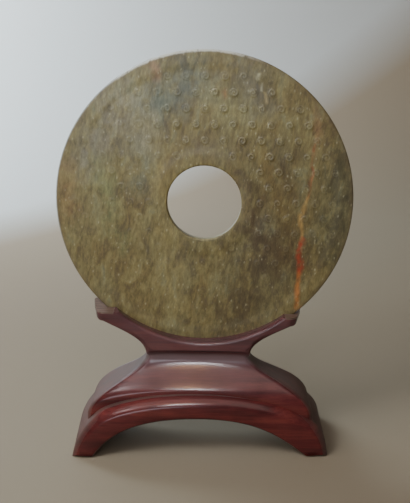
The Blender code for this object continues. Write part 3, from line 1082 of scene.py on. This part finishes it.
@dataclass(frozen=True)
class LacquerFinish:
    """Dark red-brown lacquer over fine-grained hardwood, bare on the two cut tips."""

    tips: tuple[tuple[int, float, float, float], ...]
    deep: Triple = (0.036, 0.0066, 0.0072)
    body: Triple = (0.096, 0.0150, 0.0148)
    bright: Triple = (0.172, 0.0320, 0.0245)
    # Greyish colour over the upper stand: partly the lacquer's milky haze and partly painted
    # reflection of the pale room.
    haze_and_sheen: Triple = (0.080, 0.056, 0.060)
    # Paler band on the neck: painted light, lifting the neck where it lies in shade under the
    # cradle.
    neck: Triple = (0.150, 0.098, 0.104)
    # Greyish brown for the flat ledge and the turned ends: partly dust and partly painted
    # reflection of the pale room.
    dust: Triple = (0.072, 0.062, 0.050)
    dull: Triple = (0.60, 0.56, 0.60)
    bare_tones: Stops = ((0.30, (0.055, 0.030, 0.022)), (0.55, (0.120, 0.072, 0.052)),
                         (0.75, (0.200, 0.130, 0.100)))
    haze_and_sheen_rise: Pair = (0.034, 0.062)
    # Heights where the neck's painted light fades in and out.
    neck_start: Pair = (0.059, 0.063)
    neck_end: Pair = (0.070, 0.067)
    bare_roughness: float = 0.62
    relief: float = 0.00004

    def bare_mask(self, surface: Surface, fray: Value) -> Value:
        """Mask of the dry wood on the flat tips.

        Args:
            surface: The wood material.
            fray: Noise that frays the lacquer's edge.

        Returns:
            A mask from 0 to 1.
        """
        x, y, z = surface.axes(surface.place)
        total: Value | float = 0.0
        for sign, inner, top, slope in self.tips:
            out = (x * float(sign) + (fray - 0.5) * 0.0016).rise(inner - 0.0006, inner + 0.0002)
            up = (z - y * slope + (fray - 0.5) * 0.0004).rise(top - 0.0011, top - 0.0006)
            total = out * up + total
        return total

    def build(self) -> bpy.types.Material:
        """Make the material."""
        surface = Surface("lacquered_hardwood")
        bands = surface.noise(surface.spread((0.090, 0.0060, 0.0048)), 3.0, 0.55, 0.35)
        fibres = surface.noise(surface.spread((0.0150, 0.0007, 0.0006)), 3.0, 0.6)
        pores = surface.noise(surface.spread((0.0034, 0.0004, 0.0004)), 2.0, 0.5)
        patina = surface.noise(surface.spread((0.030, 0.030, 0.022)), 3.0, 0.5)
        streaks = bands * 0.7 + fibres * 0.3
        colour = surface.ramp(streaks, (0.28, self.deep), (0.50, self.body), (0.74, self.bright))
        dark_pores = pores.rise(0.60, 0.70)
        colour = surface.lay(colour, self.deep, dark_pores * 0.35)
        colour = surface.lay(colour, self.dull, patina.rise(0.62, 0.36) * 0.5, Blend.MULTIPLY)
        _, _, z = surface.axes(surface.place)
        # Greyish colour, fuller higher up the stand: partly the lacquer's milky haze and partly
        # painted reflection.
        haze_and_sheen = z.rise(*self.haze_and_sheen_rise) * (patina * 0.7 + 0.05)
        colour = surface.lay(colour, self.haze_and_sheen, haze_and_sheen)
        # Painted light on the neck, which lies in shade under the cradle.
        neck = z.rise(*self.neck_start) * z.rise(*self.neck_end)
        colour = surface.lay(colour, self.neck, neck * 0.6)
        dry = surface.ramp(fibres, *self.bare_tones)
        bare = self.bare_mask(surface, pores)
        colour = surface.lay(colour, dry, bare)
        mark = surface.add("ShaderNodeAttribute", {"attribute_name": DUST_AND_SHEEN})
        dust = Value(surface, mark.outputs["Fac"])
        # Flat ledge and turned ends greyed: partly dust and partly painted reflection of the pale
        # room; the same mark also roughens the lacquer.
        colour = surface.lay(colour, self.dust, dust * (patina * 0.4 + 0.30))
        sheen = patina * 0.08 + fibres * 0.05 + dust * 0.40 + 0.13
        rough = sheen * (1.0 - bare) + bare * self.bare_roughness
        height = fibres * 0.5 + pores * 0.5
        return surface.finish(base_color=colour, roughness=rough, specular_ior_level=0.42,
                              normal=surface.bump(height, self.relief, 0.5))


@dataclass(frozen=True)
class CarvedStand:
    """The whole stand, carved from one block and lacquered."""

    slab: FootSlab
    upper: UpperForm
    groove: Groove
    cut_margin: float = 0.0200
    weld: float = 0.00002
    crisp_angle: float = math.radians(38.0)
    ledge_lean: float = 0.08
    ledge_rise: float = 0.5
    end_turn: Pair = (0.35, 0.70)

    def tip_cutter(self, side: StandSide) -> bpy.types.Object:
        """The block that leaves an arm's tip flat and bare."""
        deep = 2 * self.groove.half_depth + 2 * self.cut_margin
        tall = 2 * self.cut_margin
        place = (Matrix.Translation((side.sign * side.arm_reach, 0, self.upper.tip_top(side)))
                 @ Matrix.Rotation(side.tip_slant, 4, "X") @ Matrix.Translation((0, 0, tall / 2))
                 @ Matrix.Diagonal((side.tip_flat + 2 * self.cut_margin, deep, tall, 1)))
        bm = bmesh.new()
        bmesh.ops.create_cube(bm, size=1.0, matrix=place)
        return make_object("tip_cutter", bm)

    def work(self, block: bpy.types.Object, guide: bpy.types.Object, joinery: Joinery) -> None:
        """Join a guide shape to the block or cut it out, and take the guide away."""
        step = block.modifiers.new(joinery.name.title(), "BOOLEAN")
        step.operation, step.solver = joinery.value
        step.object = guide
        bake_modifiers(block)
        bpy.data.objects.remove(guide, do_unlink=True)

    def shade(self, block: bpy.types.Object) -> None:
        """Shade the carving smooth between its crisp edges."""
        bm = bmesh.new()
        bm.from_mesh(block.data)
        bmesh.ops.dissolve_degenerate(bm, dist=self.weld, edges=bm.edges)
        bmesh.ops.triangulate(bm, faces=[face for face in bm.faces if len(face.verts) > 4])
        bm.to_mesh(block.data)
        bm.free()
        block.data.shade_smooth()
        block.data.set_sharp_from_angle(angle=self.crisp_angle)

    def gather_dust_and_sheen(self, block: bpy.types.Object) -> None:
        """Mark the flat ledge and the turned ends, where dust has dulled the lacquer and a painted
        reflection of the pale room greys its colour.
        """
        mesh = block.data
        bent = read_triples(mesh.corner_normals, "vector")
        corners = np.empty(len(mesh.loops), np.int32)
        mesh.loops.foreach_get("vertex_index", corners)
        heights = read_triples(mesh.vertices, "co")[:, 2]
        sizes = [face.loop_total for face in mesh.polygons]
        flat = [abs(face.normal.y) < self.ledge_lean and face.normal.z > self.ledge_rise
                for face in mesh.polygons]
        start, end = self.end_turn
        ends = np.clip((np.abs(bent[:, 0]) - start) / (end - start), 0.0, 1.0)
        low = heights[corners] < self.upper.waist_level
        amount = np.maximum(ends, np.repeat(flat, sizes)) * low
        dust = mesh.attributes.new(DUST_AND_SHEEN, "FLOAT", "CORNER")
        dust.data.foreach_set("value", amount.astype(np.float32))

    def finish(self) -> LacquerFinish:
        """The stand's lacquer, told where the bare tips are."""
        return LacquerFinish(tips=tuple(
            (side.sign, side.arm_reach - side.tip_flat, self.upper.tip_top(side),
             math.tan(side.tip_slant)) for side in self.upper.sides))

    def build(self) -> bpy.types.Object:
        """Make the stand."""
        upper = self.upper.build()
        self.work(upper, self.groove.cutter(), Joinery.CUT)
        for side in self.upper.sides:
            self.work(upper, self.tip_cutter(side), Joinery.CUT)
        stand = self.slab.build()
        stand.name = "stand_carving"
        self.work(stand, upper, Joinery.JOIN)
        self.shade(stand)
        self.gather_dust_and_sheen(stand)
        stand.data.materials.clear()
        stand.data.materials.append(self.finish().build())
        return stand


class Glow(Enum):
    """Whether a light lights surfaces, and whether it is mirrored in them."""

    FULL = (True, True)
    SHADE = (True, False)
    SHINE = (False, True)


@dataclass(frozen=True)
class Softbox:
    """One square of soft light, aimed at the object from a given direction."""

    name: str
    direction: Triple
    distance: float
    size: Pair
    colour: Triple
    power: float
    aim: Triple = (0.0, 0.0, 0.12)
    glow: Glow = Glow.FULL

    def add(self) -> None:
        """Hang the light."""
        lamp = bpy.data.lights.new(self.name, "AREA")
        lamp.shape = "RECTANGLE"
        lamp.size, lamp.size_y = self.size
        lamp.color = self.colour
        lamp.energy = self.power
        thing = bpy.data.objects.new(self.name, lamp)
        away = Vector(self.direction).normalized()
        thing.location = Vector(self.aim) + away * self.distance
        thing.rotation_euler = away.to_track_quat("Z", "Y").to_euler()
        thing.visible_camera = False
        thing.visible_diffuse, thing.visible_glossy = self.glow.value
        bpy.context.scene.collection.objects.link(thing)


@dataclass(frozen=True)
class Studio:
    """A pale floor that sweeps up into a backdrop, its colour graded as painted light, and soft
    light.
    """

    half_width: float = 3.0
    front: float = -2.0
    back: float = 0.8
    bend: float = 0.8
    wall_top: float = 3.0
    bend_steps: int = 24
    # The paper's warm grey, made brighter and cooler towards the back, the left and up the backdrop
    # as painted light.
    paper_and_painted_light_tones: Stops = (
        (0.0, (0.207, 0.160, 0.107)), (0.35, (0.248, 0.198, 0.138)),
        (0.77, (0.305, 0.230, 0.156)), (0.96, (0.540, 0.505, 0.460)))
    air: Triple = (0.62, 0.56, 0.48)
    air_strength: float = 0.24
    tone_slopes: Pair = (1.6, 1.5)
    tone_start: float = 0.5
    tone_scale: float = 0.5
    tooth_size: float = 0.004
    lights: tuple[Softbox, ...] = (
        Softbox("window", (-0.72, -0.42, 0.62), 1.9, (1.3, 1.3), (1.0, 0.95, 0.88), 17.0,
                glow=Glow.SHADE),
        Softbox("fill", (0.10, -0.75, 0.65), 1.8, (1.2, 1.0), (1.0, 0.93, 0.84), 4.5,
                glow=Glow.SHADE),
        Softbox("wall_wash", (-0.60, -0.30, 0.80), 1.0, (0.8, 0.8), (0.66, 0.84, 1.0), 48.0,
                (-0.55, 1.35, 0.15), Glow.SHADE),
        Softbox("disc_wash", (-0.25, -0.30, 0.25), 0.40, (0.16, 0.16), (0.78, 0.90, 1.0), 1.9,
                (-0.03, 0.0, 0.250), Glow.SHADE),
        Softbox("far_window", (-0.18, -0.97, 0.08), 1.6, (0.65, 0.40), (0.78, 0.90, 1.0), 4.6,
                (-0.02, 0.0, 0.255)),
        Softbox("skylight_strip", (-0.03, -0.78, 0.62), 1.6, (0.16, 0.12), (0.92, 0.96, 1.0), 5.0,
                glow=Glow.SHINE),
        Softbox("warm_lamp", (-0.055, -0.685, 0.727), 1.5, (0.10, 0.06), (1.0, 0.55, 0.24), 1.1,
                glow=Glow.SHINE),
        Softbox("side_window", (-0.40, -0.62, 0.67), 1.6, (0.26, 0.24), (1.0, 0.92, 0.94), 2.0,
                glow=Glow.SHINE),
        Softbox("ceiling", (0.0, -0.45, 0.89), 1.7, (1.9, 1.3), (1.0, 0.80, 0.72), 10.5,
                glow=Glow.SHINE),
    )

    def sweep(self) -> bpy.types.Object:
        """Make the floor and the backdrop as one bent sheet."""
        bm = bmesh.new()
        ends = [bm.verts.new((x, self.front, 0.0)) for x in (-self.half_width, self.half_width)]
        edge = [bm.edges.new(ends)]
        edge = self.pull(bm, edge, (0, self.back - self.front, 0))
        bent = bmesh.ops.spin(bm, geom=edge + list(edge[0].verts), cent=(0, self.back, self.bend),
                              axis=(1, 0, 0), angle=math.pi / 2, steps=self.bend_steps)
        edge = [e for e in bent["geom_last"] if isinstance(e, bmesh.types.BMEdge)]
        self.pull(bm, edge, (0, 0, self.wall_top - self.bend))
        floor = make_object("studio_sweep", bm)
        floor.data.shade_smooth()
        return floor

    def pull(self, bm: bmesh.types.BMesh, edges: list[bmesh.types.BMEdge],
             way: Triple) -> list[bmesh.types.BMEdge]:
        """Draw edges out into faces and give the new edges."""
        grown = bmesh.ops.extrude_edge_only(bm, edges=edges)["geom"]
        moved = [v for v in grown if isinstance(v, bmesh.types.BMVert)]
        bmesh.ops.translate(bm, verts=moved, vec=way)
        return [e for e in grown if isinstance(e, bmesh.types.BMEdge)
                and all(v in grown for v in e.verts)]

    def paper(self) -> bpy.types.Material:
        """Pale paper with a faint tooth, graded as painted light from warm and dark in front to
        pale and cool at the far left.
        """
        surface = Surface("studio_paper")
        x, y, z = surface.axes(surface.place)
        across, up = self.tone_slopes
        # Painted light: the grade rises towards the back, the left and up the backdrop.
        place = (y - x * across + z * up + self.tone_start) * self.tone_scale
        tone = surface.ramp(place, *self.paper_and_painted_light_tones)
        tooth = surface.noise(surface.spread((self.tooth_size,) * 3), 2.0)
        return surface.finish(base_color=tone, roughness=0.75,
                              normal=surface.bump(tooth, 0.0001, 0.3))

    def build(self) -> None:
        """Lay the floor and hang the lights."""
        floor = self.sweep()
        floor.data.materials.append(self.paper())
        for light in self.lights:
            light.add()
        world = bpy.data.worlds.new("studio_air")
        world.use_nodes = True
        air = world.node_tree.nodes["Background"]
        air.inputs["Color"].default_value = (*self.air, 1.0)
        air.inputs["Strength"].default_value = self.air_strength
        bpy.context.scene.world = world


@dataclass(frozen=True)
class Viewpoint:
    """Where the photograph was taken from, and its lens."""

    disc_centre: float
    aim: Triple = (0.0009, 0.0, -0.0344)
    distance: float = 0.5155
    pitch: float = math.radians(14.24)
    yaw: float = math.radians(0.72)
    roll: float = math.radians(0.7)
    focal_px: float = 750.0
    image_height_px: float = 503.0
    sensor: float = 36.0

    def build(self) -> None:
        """Set up the camera."""
        back = Vector((math.sin(self.yaw) * math.cos(self.pitch),
                       -math.cos(self.yaw) * math.cos(self.pitch), math.sin(self.pitch)))
        across = Vector((0, 0, 1)).cross(back).normalized()
        upright = back.cross(across)
        right = across * math.cos(self.roll) + upright * math.sin(self.roll)
        up = upright * math.cos(self.roll) - across * math.sin(self.roll)
        place = Vector(self.aim) + Vector((0, 0, self.disc_centre)) + back * self.distance
        camera = bpy.data.cameras.new("camera")
        camera.sensor_fit = "VERTICAL"
        camera.sensor_height = self.sensor
        camera.lens = self.sensor * self.focal_px / self.image_height_px
        camera.clip_start = 0.01
        thing = bpy.data.objects.new("camera", camera)
        turn = Matrix((right, up, back)).transposed()
        thing.matrix_world = Matrix.Translation(place) @ turn.to_4x4()
        bpy.context.scene.collection.objects.link(thing)
        bpy.context.scene.camera = thing


VEIN_RED = (0.230, 0.040, 0.014)
VEIN_ORANGE = (0.270, 0.115, 0.034)
OCHRE = (0.250, 0.178, 0.050)
GREEN = (0.150, 0.180, 0.075)
STONE_STREAKS_AND_PAINTED_SHADE = (
    Streak((-8.0, 78.0), (-30.0, 66.0), 13.0, (0.110, 0.118, 0.092), 0.75),
    Streak((-30.0, 66.0), (-44.0, 10.0), 9.0, (0.100, 0.112, 0.080), 0.55),
    Streak((-70.0, 26.0), (-58.0, -30.0), 7.0, GREEN, 0.38),
    Streak((-38.0, 52.0), (-24.0, 8.0), 7.0, OCHRE, 0.45),
    Streak((-24.0, -20.0), (-20.0, -75.0), 8.0, (0.260, 0.200, 0.075), 0.45),
    Streak((8.0, 70.0), (24.0, 62.0), 11.0, (0.260, 0.240, 0.115), 0.55),
    Streak((39.0, 31.0), (55.0, -12.0), 6.5, OCHRE, 0.80),
    Streak((27.0, 6.0), (42.0, -38.0), 11.0, (0.075, 0.045, 0.030), 0.70),
    # These three dark patches on the right half are partly the stone's own darker patches and
    # partly painted shade, where the light falls off towards the right.
    Streak((92.0, 34.0), (88.0, -34.0), 12.0, (0.055, 0.046, 0.022), 0.85),
    Streak((44.0, -34.0), (22.0, -78.0), 20.0, (0.060, 0.042, 0.022), 0.72),
    Streak((46.0, 24.0), (60.0, -34.0), 17.0, (0.076, 0.047, 0.018), 0.74),
    Streak((73.5, 62.0), (72.5, 30.0), 3.0, (0.200, 0.098, 0.040), 0.55, 0.7),
    Streak((71.5, 40.0), (68.0, 4.0), 1.1, (0.280, 0.075, 0.026), 0.60, 0.8),
    Streak((68.0, 4.0), (66.0, -24.0), 1.5, (0.340, 0.200, 0.060), 0.70, 0.7),
    Streak((66.5, -24.0), (65.5, -50.0), 1.9, (0.270, 0.035, 0.012), 0.95, 0.6),
    Streak((65.5, -50.0), (65.0, -73.0), 2.2, (0.320, 0.115, 0.026), 0.90, 0.6),
    Streak((33.2, 84.5), (33.8, 81.5), 0.9, (0.520, 0.470, 0.270), 0.85, 0.3),
    Streak((36.2, 79.0), (36.8, 74.5), 0.8, (0.520, 0.470, 0.290), 0.75, 0.4),
    Streak((38.2, 73.0), (39.9, 66.5), 0.9, (0.420, 0.310, 0.130), 0.80, 0.4),
    Streak((11.6, 73.5), (12.6, 71.0), 2.4, (0.200, 0.095, 0.032), 0.80, 0.4),
    Streak((-62.0, 62.0), (-78.0, 26.0), 10.0, (0.175, 0.155, 0.125), 0.50),
    Streak((-52.0, 74.0), (-40.0, 40.0), 12.0, (0.235, 0.215, 0.150), 0.45),
    Streak((24.0, 88.0), (37.0, 64.0), 9.0, (0.112, 0.100, 0.080), 0.55),
    Streak((-12.0, 40.0), (14.0, 36.0), 7.0, (0.105, 0.078, 0.048), 0.55),
    Streak((-35.0, 90.0), (-33.0, 84.0), 4.0, (0.260, 0.130, 0.080), 0.60, 0.5),
    Streak((-94.0, 20.0), (-90.0, -6.0), 7.0, (0.190, 0.100, 0.040), 0.45, 0.5),
)


def main() -> None:
    """Build the disc, the stand and the studio around them, and report each piece."""
    logging.basicConfig(level=logging.INFO, format="%(message)s")
    sides = (LEFT_SIDE, RIGHT_SIDE)
    slab = FootSlab(sides)
    saddle_thickness = 0.0067
    seat = slab.crown + UpperForm.body_height + saddle_thickness
    groove = Groove(disc_radius=JadeDisc.diameter / 2, disc_thickness=JadeDisc.thickness,
                    seat_level=seat)
    disc_form = JadeDisc(groove.centre)
    jade = JadeFinish((0.0, 0.0, groove.centre), STONE_STREAKS_AND_PAINTED_SHADE, disc_form.field)
    disc = disc_form.build(jade.build())
    stand = CarvedStand(slab, UpperForm(sides, slab, groove), groove).build()
    for piece, node, slot in ((disc, "jade_disc", "jade"), (stand, "carved_stand", "stand_wood")):
        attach(piece, "root")
        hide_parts(node)
        log.info("%s: %d vertices", piece.name, len(piece.data.vertices))
    Studio().build()
    Viewpoint(groove.centre).build()


if __name__ == "__main__":
    main()
